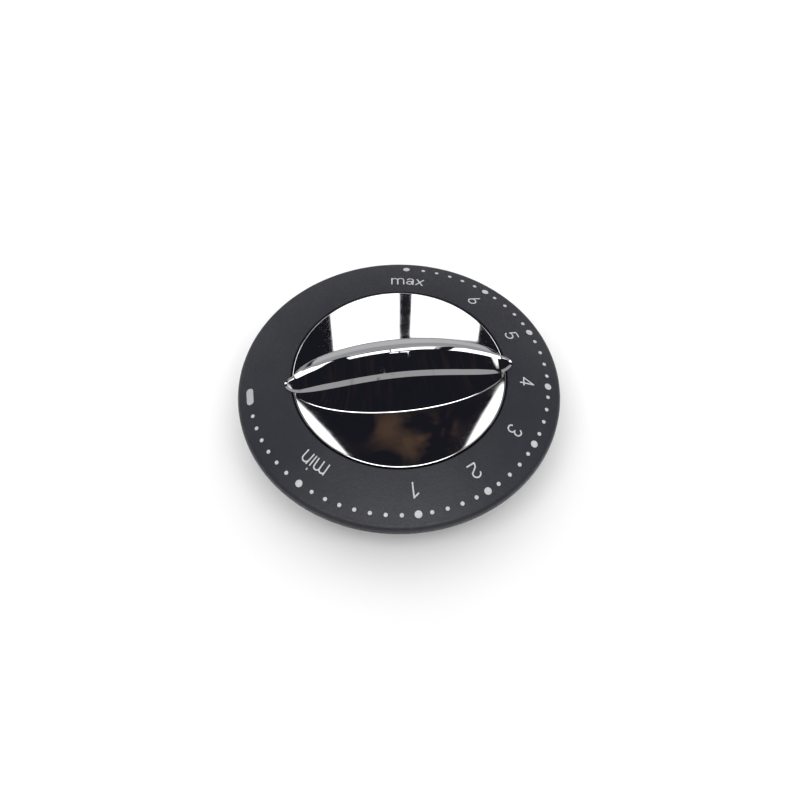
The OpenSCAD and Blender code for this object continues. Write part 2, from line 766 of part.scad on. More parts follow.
module terminals() {
    root_y = case_r + 0.6;
    tip_y = tongue_y + terminal_l;
    neck_w = terminal_w - 0.7;
    color("#d3d0c4") translate([0, 0, wafer_back - track_t - terminal_t]) linear_extrude(terminal_t)
        difference() {
            for (i = [-1:1]) translate([i * terminal_pitch, 0]) {
                translate([-terminal_w / 2, -tongue_y + 0.4]) square([terminal_w, tongue_y - 0.4 - root_y]);
                translate([-neck_w / 2, -tip_y]) square([neck_w, tip_y - root_y - cut]);
                translate([0, -tip_y]) circle(r = terminal_w / 2);
            }
            for (i = [-1:1]) translate([i * terminal_pitch, -tip_y]) circle(r = eyelet_r);
            rivet_holes(rivet_r + slip);
        }
}

module terminal_rivets() {
    head_r = rivet_r + 0.5;
    head_h = 0.35;
    low = wafer_back - track_t - terminal_t;
    color("#c9b37a") for (i = [-1:1]) translate([i * terminal_pitch, -rivet_y, 0]) difference() {
        union() {
            translate([0, 0, low]) cylinder(r = rivet_r, h = flange_back - low);
            translate([0, 0, low - head_h]) cylinder(r = head_r, h = head_h);
            translate([0, 0, flange_back]) cylinder(r = head_r, h = head_h);
        }
        translate([0, 0, low - cut]) cylinder(r = rivet_r / 2, h = 2 * head_h + cut);
    }
}

// ---------------------------------------------------------------- rear case

module rear_case() {
    inner_r = case_r - case_wall;
    mouth_low = wafer_back - track_t - 0.4;
    color("#b9bcbe") union() {
        difference() {
            translate([0, 0, case_back]) cylinder(r = case_r, h = flange_back - case_back);
            translate([0, 0, case_floor]) cylinder(r = inner_r, h = flange_back - case_floor + cut);
            // mouth for the wafer's tongue
            translate([-tongue_w / 2 - face_gap, -2 * case_r, mouth_low])
                cube([tongue_w + 2 * face_gap, 2 * case_r, flange_back - mouth_low + cut]);
        }
        // dents that stop the rotor's lug
        for (s = [-1, 1]) rotate([0, 0, -90 + s * (dent_reach - dent_angle / 2) - dent_angle / 2])
            translate([0, 0, case_floor - case_wall / 2])
                rotate_extrude(angle = dent_angle) translate([dent_r, 0])
                    square([inner_r + case_wall / 2 - dent_r, rotor_front - case_floor + case_wall / 2]);
        // tabs folded over the bush plate
        for (a = tab_angles) rotate([0, 0, a]) {
            translate([case_r - tab_t, -tab_w / 2, flange_back - case_wall])
                cube([tab_t, tab_w, plate_t + case_wall + tab_t]);
            translate([case_r - tab_fold, -tab_w / 2, flange_front]) cube([tab_fold, tab_w, tab_t]);
        }
    }
}

dial_skirt();
off_mark();
scale_dots();
scale_legend();
grip_cap();
knob_hub();
shaft_spring();
cap_screws();
bush_nut();
lock_washer();
mounting_bracket();
bush_plate();
control_shaft();
shaft_circlip();
rotor();
wiper_spring();
element_wafer();
resistive_track();
collector_ring();
terminals();
terminal_rivets();
rear_case();
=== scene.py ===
"""Looks of the skirted control dial: domed grained skirt, chrome bar grip, printed scale, rotary control."""

import math
from collections import namedtuple

import bmesh
import bpy
from mathutils import Matrix, Vector


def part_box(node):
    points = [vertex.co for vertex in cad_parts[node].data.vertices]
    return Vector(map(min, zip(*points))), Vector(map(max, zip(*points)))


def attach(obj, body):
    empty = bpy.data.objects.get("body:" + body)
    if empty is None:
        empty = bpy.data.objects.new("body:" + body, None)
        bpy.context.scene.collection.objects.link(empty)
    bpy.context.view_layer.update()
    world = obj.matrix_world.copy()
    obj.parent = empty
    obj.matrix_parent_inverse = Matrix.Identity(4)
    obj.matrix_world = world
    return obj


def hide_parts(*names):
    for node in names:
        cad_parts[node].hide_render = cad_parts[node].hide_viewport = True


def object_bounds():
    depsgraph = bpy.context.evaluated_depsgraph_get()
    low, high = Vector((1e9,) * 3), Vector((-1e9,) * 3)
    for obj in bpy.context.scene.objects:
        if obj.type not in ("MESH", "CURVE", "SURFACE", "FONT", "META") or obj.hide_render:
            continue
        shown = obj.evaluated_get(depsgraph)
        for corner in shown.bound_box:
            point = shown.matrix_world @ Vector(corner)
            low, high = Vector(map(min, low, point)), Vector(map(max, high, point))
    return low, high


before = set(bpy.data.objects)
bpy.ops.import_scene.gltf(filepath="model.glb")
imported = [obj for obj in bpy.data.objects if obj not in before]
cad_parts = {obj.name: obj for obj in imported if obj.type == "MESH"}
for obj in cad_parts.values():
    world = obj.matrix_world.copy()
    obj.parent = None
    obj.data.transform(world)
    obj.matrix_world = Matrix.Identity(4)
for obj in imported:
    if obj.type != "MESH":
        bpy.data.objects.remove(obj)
CAD_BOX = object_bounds()

# ------------------------------------------------------------------ sizes, in millimetres

MM = 0.001


def box_mm(node):
    """Lowest and highest corner of a CAD node, in millimetres."""
    low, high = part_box(node)
    return low / MM, high / MM


SKIRT_LOW, SKIRT_HIGH = box_mm("dial_skirt")
CAP_LOW, CAP_HIGH = box_mm("grip_cap")

# skirt
SKIRT_R = SKIRT_HIGH.x
RIM_Z = SKIRT_LOW.z
RIM_H = 1.6
DOME_R = 89.0
RIM_ROUND = 1.2
SKIRT_WALL = 1.6
SEAT_R = SKIRT_R - 11.1
EDGE_BREAK = 0.14
WEB_T = 1.5
HUB_R = 5.35
RIBS = 8
RIB_T = 1.0
SCREW_X = 13.0
SCREW_HOLE_R = 1.5

# cap and grip; heights of the grip are measured from the disc's face
CAP_R = CAP_HIGH.y
DISC_UNDER = CAP_LOW.z
DISC_TOP = DISC_UNDER + 1.8
DISC_ROUND = 0.35
DISC_BREAK = 0.1
BLEND_R = CAP_R - DISC_ROUND - 0.15
GRIP_HALF = CAP_HIGH.x
GRIP_H = CAP_HIGH.z - DISC_TOP
FOOT_HALF = 8.89
FOOT_LONG = 22.1
EDGE_HALF = 4.1
EDGE_POWER = 3.45
ARCH_R = 48.4
BEVEL_W = 1.1
BEVEL_H = 0.38
TIP_BEVEL_W = 0.5
TIP_START = 15.0
CROWN = 0.105  # slope of the top at its back edge
FRONT_CROWN = 0.0  # the same at its front edge
FILLET_R = 0.42
NOSE_H = 0.5
NOSE_LIFT = 0.02
NOSE_ROUND = 0.08
SINK = 0.6  # how far the grip reaches down into the disc
CAP_WALL = 1.8
BOSS_R = 2.3
SCREW_BORE = 1.12
SCREW_DEPTH = 3.4

# printed scale; angles run counter-clockwise from the off mark, seen from the front
DOT_RING = SKIRT_R - 2.66
BIG_DOT = 1.45
SMALL_DOT = 0.80
DOT_PITCH = 5.7
MARK_L = 3.9
MARK_W = 1.5
TRAVEL = 260.0
MIN_ANGLE = 44.0
FIGURE_ANGLES = [90.0 + 27.0 * i for i in range(6)]
FIGURE_H = 3.1
LETTER_H = 2.45
LETTER_GAP = 0.42
STROKE = 0.28
PRINT_T = 0.06
PRINT_LIFT = 0.004
LEGEND_FOOT = CAP_R + 2.8

# camera, its turn and height in degrees
CAMERA_AZIMUTH = -6.9
CAMERA_ELEVATION = 55.6
CAMERA_DISTANCE = 6.315 * SKIRT_R


def dome_z(r, inset=0.0):
    """Height of the skirt's domed face at radius r, moved in by inset."""
    centre = RIM_Z + RIM_H - math.sqrt(DOME_R**2 - SKIRT_R**2)
    return centre + math.sqrt((DOME_R - inset) ** 2 - r * r)


# ------------------------------------------------------------------ mesh tools


def arc(cx, cy, r, start, end, steps):
    """Points on an arc, angles in degrees."""
    angles = [math.radians(start + (end - start) * i / steps) for i in range(steps + 1)]
    return [(cx + r * math.cos(a), cy + r * math.sin(a)) for a in angles]


def rounded(corners, steps=5, closed=True):
    """A polyline whose corners (x, y, radius) are rounded; a radius of 0 keeps the corner sharp."""
    points = []
    count = len(corners)
    for i, (x, y, radius) in enumerate(corners):
        here = Vector((x, y))
        at_end = not closed and i in (0, count - 1)
        if radius <= 0 or at_end:
            points.append((x, y))
            continue
        back = Vector(corners[i - 1][:2]) - here
        ahead = Vector(corners[(i + 1) % count][:2]) - here
        half = back.angle(ahead) / 2
        reach = min(radius / math.tan(half), 0.49 * back.length, 0.49 * ahead.length)
        first, last = here + back.normalized() * reach, here + ahead.normalized() * reach
        for k in range(steps + 1):
            t = k / steps
            p = (1 - t) ** 2 * first + 2 * t * (1 - t) * here + t * t * last
            points.append((p.x, p.y))
    return points


def mesh_object(name, verts, faces):
    """A mesh object from points in millimetres."""
    mesh = bpy.data.meshes.new(name)
    mesh.from_pydata([tuple(v) for v in verts], [], faces)
    mesh.validate()
    obj = bpy.data.objects.new(name, mesh)
    bpy.context.scene.collection.objects.link(obj)
    return obj


def lathe(name, profile, segments=192):
    """A solid of revolution about Z from a closed profile of (radius, height)."""
    verts, faces = [], []
    for i in range(segments):
        a = 2 * math.pi * i / segments
        verts += [(r * math.cos(a), r * math.sin(a), z) for r, z in profile]
    n = len(profile)
    for i in range(segments):
        j = (i + 1) % segments
        for k in range(n):
            m = (k + 1) % n
            faces.append((i * n + k, j * n + k, j * n + m, i * n + m))
    obj = mesh_object(name, verts, faces)
    weld(obj)
    return obj


def weld(obj, distance=1e-5):
    """Merges points that coincide, drops flat faces and makes the normals face outwards."""
    bm = bmesh.new()
    bm.from_mesh(obj.data)
    bmesh.ops.remove_doubles(bm, verts=bm.verts, dist=distance)
    bmesh.ops.dissolve_degenerate(bm, edges=bm.edges, dist=distance)
    loose = [e for e in bm.edges if not e.link_faces]
    bmesh.ops.delete(bm, geom=loose, context="EDGES")
    bmesh.ops.recalc_face_normals(bm, faces=bm.faces)
    bm.to_mesh(obj.data)
    bm.free()


def prism(name, outline, low, high):
    """An upright solid on a closed outline."""
    n = len(outline)
    verts = [(x, y, low) for x, y in outline] + [(x, y, high) for x, y in outline]
    faces = [tuple(range(n - 1, -1, -1)), tuple(range(n, 2 * n))]
    faces += [(i, (i + 1) % n, n + (i + 1) % n, n + i) for i in range(n)]
    return mesh_object(name, verts, faces)


def loft(name, rings, open_start=False):
    """A solid through closed rings that all have the same number of points; both ends are capped,
    unless the first ring already closes on itself."""
    n = len(rings[0])
    verts = [p for ring in rings for p in ring]
    faces = []
    for i in range(len(rings) - 1):
        for k in range(n):
            m = (k + 1) % n
            faces.append((i * n + k, i * n + m, (i + 1) * n + m, (i + 1) * n + k))
    if not open_start:
        faces.append(tuple(range(n - 1, -1, -1)))
    faces.append(tuple((len(rings) - 1) * n + k for k in range(n)))
    obj = mesh_object(name, verts, faces)
    weld(obj)
    return obj


def baked(obj):
    """Applies the object's modifiers to its mesh."""
    graph = bpy.context.evaluated_depsgraph_get()
    mesh = bpy.data.meshes.new_from_object(obj.evaluated_get(graph))
    obj.modifiers.clear()
    old, obj.data = obj.data, mesh
    bpy.data.meshes.remove(old)
    return obj


def combine(obj, other, operation):
    """Joins, cuts or intersects obj with other, which is used up."""
    mod = obj.modifiers.new(operation, "BOOLEAN")
    mod.operation = operation
    mod.solver = "EXACT"
    mod.object = other
    baked(obj)
    bpy.data.objects.remove(other)
    return obj


def finish_mesh(obj, angle=32, weighted=False):
    """Scales to metres, shades smooth with sharp edges kept, and can weight normals by face area."""
    obj.data.transform(Matrix.Scale(MM, 4))
    obj.data.shade_smooth()
    obj.data.set_sharp_from_angle(angle=math.radians(angle))
    if weighted:
        mod = obj.modifiers.new("flat faces stay flat", "WEIGHTED_NORMAL")
        mod.mode = "FACE_AREA"
        mod.keep_sharp = True
        mod.weight = 50
        baked(obj)
    return obj


def place(obj, node, body, material):
    """Puts a finished piece on its body in place of a CAD node."""
    obj.data.materials.clear()
    obj.data.materials.append(material)
    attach(obj, body)
    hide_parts(node)
    return obj


# ------------------------------------------------------------------ material tools


class Look:
    """A material under construction: one Principled shader and the nodes that feed it."""

    def __init__(self, name, **sockets):
        self.material = bpy.data.materials.new(name)
        self.material.use_nodes = True
        self.tree = self.material.node_tree
        self.shader = self.tree.nodes["Principled BSDF"]
        for socket, value in sockets.items():
            self.shader.inputs[socket.replace("_", " ")].default_value = value
        self.coords = self.tree.nodes.new("ShaderNodeTexCoord").outputs["Object"]

    def node(self, kind, inputs=(), **props):
        made = self.tree.nodes.new(kind)
        for key, value in props.items():
            setattr(made, key, value)
        for socket, value in dict(inputs).items():
            if isinstance(value, bpy.types.NodeSocket):
                self.tree.links.new(value, made.inputs[socket])
            else:
                made.inputs[socket].default_value = value
        return made

    def noise(self, size_mm, detail=2.0, stretch=(1, 1, 1), distortion=0.0):
        """Noise whose features are about size_mm across; stretch below 1 draws them out along an axis."""
        moved = self.node("ShaderNodeMapping", {"Vector": self.coords, "Scale": stretch})
        made = self.node(
            "ShaderNodeTexNoise",
            {
                "Vector": moved.outputs[0],
                "Scale": 1 / (size_mm * MM),
                "Detail": detail,
                "Distortion": distortion,
            },
        )
        return made.outputs["Fac"]

    def cells(self, size_mm):
        """Distance to the nearest of cells about size_mm across."""
        made = self.node("ShaderNodeTexVoronoi", {"Vector": self.coords, "Scale": 1 / (size_mm * MM)})
        return made.outputs["Distance"]

    def spread(self, value, low, high, from_low=0.3, from_high=0.7):
        """Maps a 0 to 1 value to low..high."""
        made = self.node(
            "ShaderNodeMapRange",
            {"Value": value, "From Min": from_low, "From Max": from_high, "To Min": low, "To Max": high},
        )
        return made.outputs[0]

    def blend(self, fac, one, two):
        """A colour between one and two; each is a colour or a socket."""
        made = self.node("ShaderNodeMix", data_type="RGBA")
        for index, value in ((0, fac), (6, one), (7, two)):
            if isinstance(value, bpy.types.NodeSocket):
                self.tree.links.new(value, made.inputs[index])
            else:
                made.inputs[index].default_value = (*value, 1) if index else value
        return made.outputs[2]

    def colour(self, value):
        self.tree.links.new(value, self.shader.inputs["Base Color"])

    def roughness(self, value):
        self.tree.links.new(value, self.shader.inputs["Roughness"])

    def bump(self, *layers):
        """Adds bump layers, each (height socket, depth in mm)."""
        normal = None
        for height, depth in layers:
            made = self.node("ShaderNodeBump", {"Height": height, "Strength": 1.0, "Distance": depth * MM})
            if normal is not None:
                self.tree.links.new(normal, made.inputs["Normal"])
            normal = made.outputs[0]
        self.tree.links.new(normal, self.shader.inputs["Normal"])


def grained_plastic(name, dark, light, rough=0.48, grain=0.24, depth=0.05):
    """Moulding with a fine spark-eroded grain."""
    look = Look(name, IOR=1.45)
    look.colour(look.blend(look.spread(look.noise(9, 3), 0, 1), dark, light))
    look.roughness(look.spread(look.noise(grain * 2, 3), rough - 0.08, rough + 0.1))
    look.bump((look.noise(grain, 3), depth), (look.cells(grain * 1.6), depth * 0.5))
    return look.material


def printed_ink(name, colour, worn):
    """Thick pad print, a little uneven."""
    look = Look(name, Roughness=0.55)
    look.colour(look.blend(look.spread(look.noise(0.35, 3), 0, 1, 0.35, 0.75), colour, worn))
    look.bump((look.noise(0.12, 2), 0.006))
    return look.material


def chrome_plate(name):
    """Bright chrome on a moulding: nearly a mirror, with the faintest waviness and wiping marks."""
    look = Look(name, Metallic=1.0)
    look.colour(look.blend(look.noise(14, 2), (0.80, 0.805, 0.82), (0.86, 0.86, 0.865)))
    wiped = look.noise(2.2, 4, stretch=(0.25, 1, 1))
    look.roughness(look.spread(wiped, 0.008, 0.028))
    look.bump((look.noise(7, 1), 0.0016))
    return look.material


def rolled_metal(name, dark, light, rough=0.34, grain=(0.08, 1, 1)):
    """Sheet or strip with rolling marks, light stains and small scratches."""
    look = Look(name, Metallic=1.0)
    look.colour(look.blend(look.spread(look.noise(3.5, 4), 0, 1), dark, light))
    marks = look.noise(0.22, 3, stretch=grain)
    look.roughness(look.spread(marks, rough - 0.1, rough + 0.12))
    look.bump((marks, 0.004), (look.noise(1.2, 3), 0.003))
    return look.material


def turned_metal(name, dark, light, rough=0.28):
    """Turned bar: fine rings round Z."""
    look = Look(name, Metallic=1.0)
    rings = look.noise(0.18, 3, stretch=(0.02, 0.02, 1))
    look.colour(look.blend(look.spread(look.noise(2.5, 3), 0, 1), dark, light))
    look.roughness(look.spread(rings, rough - 0.08, rough + 0.1))
    look.bump((rings, 0.005))
    return look.material


def plain_plastic(name, dark, light, rough=0.42, subsurface=0.0):
    """Small technical moulding: satin, faintly mottled."""
    look = Look(name, Subsurface_Weight=subsurface, Subsurface_Scale=0.001)
    look.colour(look.blend(look.spread(look.noise(1.8, 4), 0, 1), dark, light))
    look.roughness(look.spread(look.noise(0.5, 3), rough - 0.07, rough + 0.09))
    look.bump((look.noise(0.3, 3), 0.005))
    return look.material


def laminate(name):
    """Pressed phenolic paper: brown, with drawn-out fibres."""
    look = Look(name)
    fibres = look.noise(0.35, 5, stretch=(0.25, 1, 1), distortion=0.6)
    look.colour(look.blend(look.spread(fibres, 0, 1), (0.13, 0.052, 0.018), (0.27, 0.125, 0.05)))
    look.roughness(look.spread(look.noise(0.8, 3), 0.3, 0.5))
    look.bump((fibres, 0.006))
    return look.material


SKIRT_PLASTIC = grained_plastic("skirt_plastic", (0.0150, 0.0155, 0.0225), (0.0200, 0.0210, 0.0270))
WHITE_PRINT = printed_ink("white_print", (0.53, 0.53, 0.54), (0.42, 0.42, 0.43))
GREY_PRINT = printed_ink("grey_print", (0.42, 0.42, 0.44), (0.34, 0.34, 0.36))
CHROME = chrome_plate("chrome_plating")
BLACK_NYLON = plain_plastic("black_nylon", (0.010, 0.010, 0.011), (0.020, 0.020, 0.022))
SPRING_STEEL = rolled_metal("spring_steel", (0.42, 0.42, 0.41), (0.58, 0.58, 0.57), 0.3)
ZINC_STEEL = turned_metal("zinc_steel", (0.50, 0.52, 0.55), (0.66, 0.68, 0.70), 0.3)
NICKEL_BRASS = turned_metal("nickel_brass", (0.50, 0.43, 0.28), (0.66, 0.58, 0.40), 0.3)
ZINC_PLATE = rolled_metal("zinc_plate", (0.42, 0.44, 0.46), (0.62, 0.64, 0.66), 0.4, grain=(1, 0.08, 1))
DIE_CAST = plain_plastic("die_cast", (0.42, 0.43, 0.44), (0.52, 0.53, 0.54), 0.45)
SHAFT_STEEL = turned_metal("shaft_steel", (0.56, 0.57, 0.58), (0.70, 0.71, 0.72), 0.24)
BLUED_STEEL = rolled_metal("blued_steel", (0.10, 0.11, 0.14), (0.20, 0.21, 0.24), 0.35)
WHITE_ACETAL = plain_plastic("white_acetal", (0.66, 0.62, 0.54), (0.76, 0.73, 0.66), 0.4, 0.2)
PHOSPHOR_BRONZE = rolled_metal("phosphor_bronze", (0.50, 0.26, 0.12), (0.66, 0.38, 0.19), 0.3)
PHENOLIC = laminate("phenolic")
CARBON_FILM = plain_plastic("carbon_film", (0.008, 0.008, 0.008), (0.022, 0.022, 0.022), 0.5)
SILVER_FILM = rolled_metal("silver_film", (0.58, 0.59, 0.58), (0.74, 0.74, 0.73), 0.42)
TINNED_BRASS = rolled_metal("tinned_brass", (0.52, 0.50, 0.44), (0.68, 0.66, 0.60), 0.36)
RIVET_BRASS = turned_metal("rivet_brass", (0.48, 0.37, 0.17), (0.66, 0.53, 0.28), 0.32)
CASE_STEEL = rolled_metal("case_steel", (0.44, 0.45, 0.46), (0.62, 0.63, 0.64), 0.33)

# ------------------------------------------------------------------ skirt


def skirt_profile():
    """Closed section of the skirt: rim, dome, seat, web and inner dome."""
    round_x = SKIRT_R - RIM_ROUND
    round_z = dome_z(round_x, RIM_ROUND)
    lean = math.degrees(math.asin(round_x / (DOME_R - RIM_ROUND)))
    inner_r, ring_r = SKIRT_R - SKIRT_WALL, SEAT_R + SKIRT_WALL
    web_top, web_bottom = DISC_UNDER, DISC_UNDER - WEB_T
    lip = EDGE_BREAK
    outer_steps, inner_steps = 40, 24
    points = [(inner_r, RIM_Z), (SKIRT_R - lip, RIM_Z)]
    points += arc(SKIRT_R - lip, RIM_Z + lip, lip, -60, 0, 3)
    points += arc(round_x, round_z, RIM_ROUND, 0, 90 - lean, 14)
    tangent_x = DOME_R * round_x / (DOME_R - RIM_ROUND)
    last_x = SEAT_R + lip
    for i in range(1, outer_steps + 1):
        r = tangent_x + (last_x - tangent_x) * i / outer_steps
        points.append((r, dome_z(r)))
    points += arc(SEAT_R + lip, dome_z(last_x) - lip, lip, 75, 180, 6)
    points += [(SEAT_R, web_top), (HUB_R, web_top), (HUB_R, web_bottom), (ring_r, web_bottom)]
    for i in range(inner_steps + 1):
        r = ring_r + (inner_r - ring_r) * i / inner_steps
        points.append((r, dome_z(r, SKIRT_WALL)))
    return points


def skirt():
    """Domed skirt with stiffening ribs inside and the two screw holes in its web."""
    obj = lathe("skirt", skirt_profile(), 256)
    rib_in, rib_out = SEAT_R + SKIRT_WALL - 0.5, SKIRT_R - SKIRT_WALL + 0.25
    low = RIM_Z + RIM_H / 2
    for i in range(RIBS):
        outline = [(rib_in, low), (rib_out, low)]
        outline += [(rib_out, dome_z(rib_out, SKIRT_WALL / 2)), (rib_in, dome_z(rib_in, SKIRT_WALL / 2))]
        rib = prism("rib", outline, -RIB_T / 2, RIB_T / 2)
        rib.data.transform(Matrix.Rotation(math.radians(90), 4, "X"))
        rib.data.transform(Matrix.Rotation(math.radians((i + 0.5) * 360 / RIBS), 4, "Z"))
        combine(obj, rib, "UNION")
    for side in (-1, 1):
        circle = arc(side * SCREW_X, 0, SCREW_HOLE_R, 0, 350, 35)
        hole = prism("hole", circle, DISC_UNDER - 2 * WEB_T, DISC_UNDER + 1)
        combine(obj, hole, "DIFFERENCE")
    weld(obj, 1e-3)
    finish_mesh(obj, 30)
    return place(obj, "dial_skirt", "dial", SKIRT_PLASTIC)


# ------------------------------------------------------------------ printed scale


def to_dome(r, angle):
    """Frame on the dome at a place of the scale: X reads clockwise, Y points outwards."""
    tilt = math.asin(r / DOME_R)
    return (
        Matrix.Rotation(math.radians(180 + angle), 4, "Z")
        @ Matrix.Translation((r, 0, dome_z(r)))
        @ Matrix.Rotation(tilt, 4, "Y")
        @ Matrix.Rotation(math.radians(-90), 4, "Z")
    )


def lay_on_dome(obj, matrix):
    """Moves a flat print by matrix and bends it to the dome, its thickness kept."""
    for v in obj.data.vertices:
        height = v.co.z
        p = matrix @ Vector((v.co.x, v.co.y, 0))
        v.co = (p.x, p.y, dome_z(math.hypot(p.x, p.y)) + PRINT_LIFT + height)


def joined(name, parts):
    """Several objects as one."""
    bm = bmesh.new()
    for part in parts:
        bm.from_mesh(part.data)
        bpy.data.objects.remove(part)
    mesh = bpy.data.meshes.new(name)
    bm.to_mesh(mesh)
    bm.free()
    obj = bpy.data.objects.new(name, mesh)
    bpy.context.scene.collection.objects.link(obj)
    return obj


def dot(diameter, angle):
    """One dot, its upper edge rounded, on the dome."""
    r, edge = diameter / 2, 0.05
    profile = [(0, 0)] + rounded([(r, 0, 0), (r, PRINT_T, edge), (0, PRINT_T, 0)], 4, False)
    obj = lathe("dot", profile, 40)
    lay_on_dome(obj, to_dome(DOT_RING, angle))
    return obj


def dot_run(count, centre):
    """Angles of a run of evenly spaced dots."""
    return [centre + (i - (count - 1) / 2) * DOT_PITCH for i in range(count)]


def scale_dots():
    """A large dot at each figure, at min and at max, and runs of small dots between them."""
    near_gap = 1.15 * DOT_PITCH
    last_centre = FIGURE_ANGLES[5] + near_gap - 0.75 * DOT_PITCH + 2.5 * DOT_PITCH
    small = dot_run(6, MIN_ANGLE - near_gap - 2.5 * DOT_PITCH)
    small += dot_run(7, (MIN_ANGLE + FIGURE_ANGLES[0]) / 2)
    for here, after in zip(FIGURE_ANGLES, FIGURE_ANGLES[1:]):
        small += dot_run(4, (here + after) / 2)
    small += dot_run(5, last_centre)
    parts = [dot(BIG_DOT, a) for a in [MIN_ANGLE, *FIGURE_ANGLES, TRAVEL]]
    parts += [dot(SMALL_DOT, a) for a in small]
    obj = finish_mesh(joined("dots", parts), 50)
    return place(obj, "scale_dots", "dial", WHITE_PRINT)


def off_mark():
    """A bar with round ends at the off position."""
    radius = MARK_W / 2
    half = MARK_L / 2 - radius
    outline = arc(half, 0, radius, -90, 90, 16) + arc(-half, 0, radius, 90, 270, 16)
    obj = prism("off_bar", outline, 0, PRINT_T)
    lay_on_dome(obj, to_dome(DOT_RING, 0))
    finish_mesh(obj, 50)
    return place(obj, "off_mark", "dial", GREY_PRINT)


def strokes(sign):
    """Strokes of a sign on a cap height of 1, as lists of points."""
    signs = {
        "1": [[(0.06, 0.72), (0.36, 0.96)], [(0.36, 0.97), (0.36, 0.03)]],
        "2": [
            arc(0.30, 0.71, 0.26, 170, -25, 20) + arc(0.80, -0.02, 0.73, 150, 172, 8),
            [(0.08, 0.07), (0.60, 0.07)],
        ],
        "3": [arc(0.28, 0.73, 0.23, 160, -88, 20), arc(0.28, 0.27, 0.24, 88, -160, 20)],
        "4": [[(0.46, 0.95), (0.04, 0.27)], [(0.04, 0.27), (0.62, 0.27)], [(0.46, 0.95), (0.46, 0.03)]],
        "5": [
            [(0.54, 0.94), (0.13, 0.94)],
            [(0.13, 0.94), (0.09, 0.49)],
            arc(0.29, 0.31, 0.26, 142, -150, 24),
        ],
        "6": [
            arc(0.30, 0.30, 0.25, -5, 185, 18),
            arc(0.30, 0.30, 0.25, 175, 365, 18),
            [(0.50, 0.96), (0.09, 0.42)],
        ],
        "m": [
            [(0.05, 0.03), (0.05, 0.95)],
            arc(0.31, 0.66, 0.26, 180, 0, 14) + [(0.57, 0.03)],
            arc(0.83, 0.66, 0.26, 180, 0, 14) + [(1.09, 0.03)],
        ],
        "n": [[(0.05, 0.03), (0.05, 0.95)], arc(0.36, 0.62, 0.31, 180, 0, 14) + [(0.67, 0.03)]],
        "i": [[(0.08, 0.03), (0.08, 0.90)], [(0.08, 1.22), (0.08, 1.30)]],
        "a": [
            arc(0.36, 0.66, 0.27, 160, 0, 14) + [(0.63, 0.03)],
            arc(0.31, 0.28, 0.23, -5, 185, 14),
            arc(0.31, 0.28, 0.23, 175, 365, 14),
            [(0.31, 0.51), (0.63, 0.51)],
        ],
        "x": [[(0.06, 0.05), (0.63, 0.92)], [(0.06, 0.92), (0.63, 0.05)]],
    }
    return signs[sign]


SIGN_W = {"1": 0.44, "4": 0.66, "m": 1.14, "n": 0.72, "i": 0.16, "a": 0.69, "x": 0.69}


def stroke_outline(points, width):
    """Outline of an even stroke with round ends."""
    path = [Vector(p) for p in points]
    steps = [(b - a).normalized() for a, b in zip(path, path[1:])]
    left, right = [], []
    for p, back, ahead in zip(path, steps[:1] + steps, steps + steps[-1:]):
        along = (ahead + back).normalized()
        side = Vector((-along.y, along.x)) * (width / 2 / max(along.dot(back), 0.3))
        left.append(p + side)
        right.append(p - side)
    start = math.degrees(math.atan2(*(left[0] - path[0]).yx))
    end = math.degrees(math.atan2(*(right[-1] - path[-1]).yx))
    cap_end = arc(*path[-1], width / 2, end + 180, end, 8)[1:-1]
    cap_start = arc(*path[0], width / 2, start + 180, start, 8)[1:-1]
    return [tuple(p) for p in left] + cap_end + [tuple(p) for p in reversed(right)] + cap_start


def sign_object(sign, height, matrix):
    """One figure or letter, its strokes united and laid on the dome."""
    centre = Vector((SIGN_W.get(sign, 0.60) * height / 2, height / 2))
    whole = None
    for stroke in strokes(sign):
        outline = stroke_outline([Vector(p) * height - centre for p in stroke], STROKE)
        part = prism("stroke", outline, 0, PRINT_T)
        weld(part)
        whole = part if whole is None else combine(whole, part, "UNION")
    bm = bmesh.new()
    bm.from_mesh(whole.data)
    bmesh.ops.triangulate(bm, faces=bm.faces)
    bm.to_mesh(whole.data)
    bm.free()
    lay_on_dome(whole, matrix)
    return whole


def word(letters, centre_angle):
    """Letters set one by one along the band, read clockwise."""
    radius = LEGEND_FOOT + LETTER_H / 2
    widths = [SIGN_W[c] * LETTER_H for c in letters]
    total = sum(widths) + LETTER_GAP * (len(letters) - 1)
    parts, start = [], -total / 2
    for letter, width in zip(letters, widths):
        angle = centre_angle - math.degrees((start + width / 2) / radius)
        parts.append(sign_object(letter, LETTER_H, to_dome(radius, angle)))
        start += width + LETTER_GAP
    return parts


def scale_legend():
    """The figures 1 to 6 and the words min and max."""
    parts = [
        sign_object(str(i + 1), FIGURE_H, to_dome(LEGEND_FOOT + FIGURE_H / 2, a))
        for i, a in enumerate(FIGURE_ANGLES)
    ]
    parts += word("min", MIN_ANGLE) + word("max", TRAVEL - 1)
    obj = finish_mesh(joined("legend", parts), 40)
    return place(obj, "scale_legend", "dial", WHITE_PRINT)


# ------------------------------------------------------------------ grip cap


def smooth_max(a, b, k):
    """The larger of two values, blended over k."""
    return (a + b + math.sqrt((a - b) ** 2 + k * k)) / 2


def smooth_step(value, low, high):
    """0 below low, 1 above high, and a smooth rise between them."""
    t = min(1.0, max(0.0, (value - low) / (high - low)))
    return t * t * (3 - 2 * t)


def edge_half(x):
    """Half-width of the grip at its upper edges: long and full, closing to a narrow nose."""
    return EDGE_HALF * math.sqrt(max(0.0, 1 - (abs(x) / GRIP_HALF) ** EDGE_POWER))


def foot_half(x):
    """Half-width of the grip's foot, an ellipse that the disc's edge cuts short."""
    return FOOT_HALF * math.sqrt(max(0.0, 1 - (x / FOOT_LONG) ** 2))


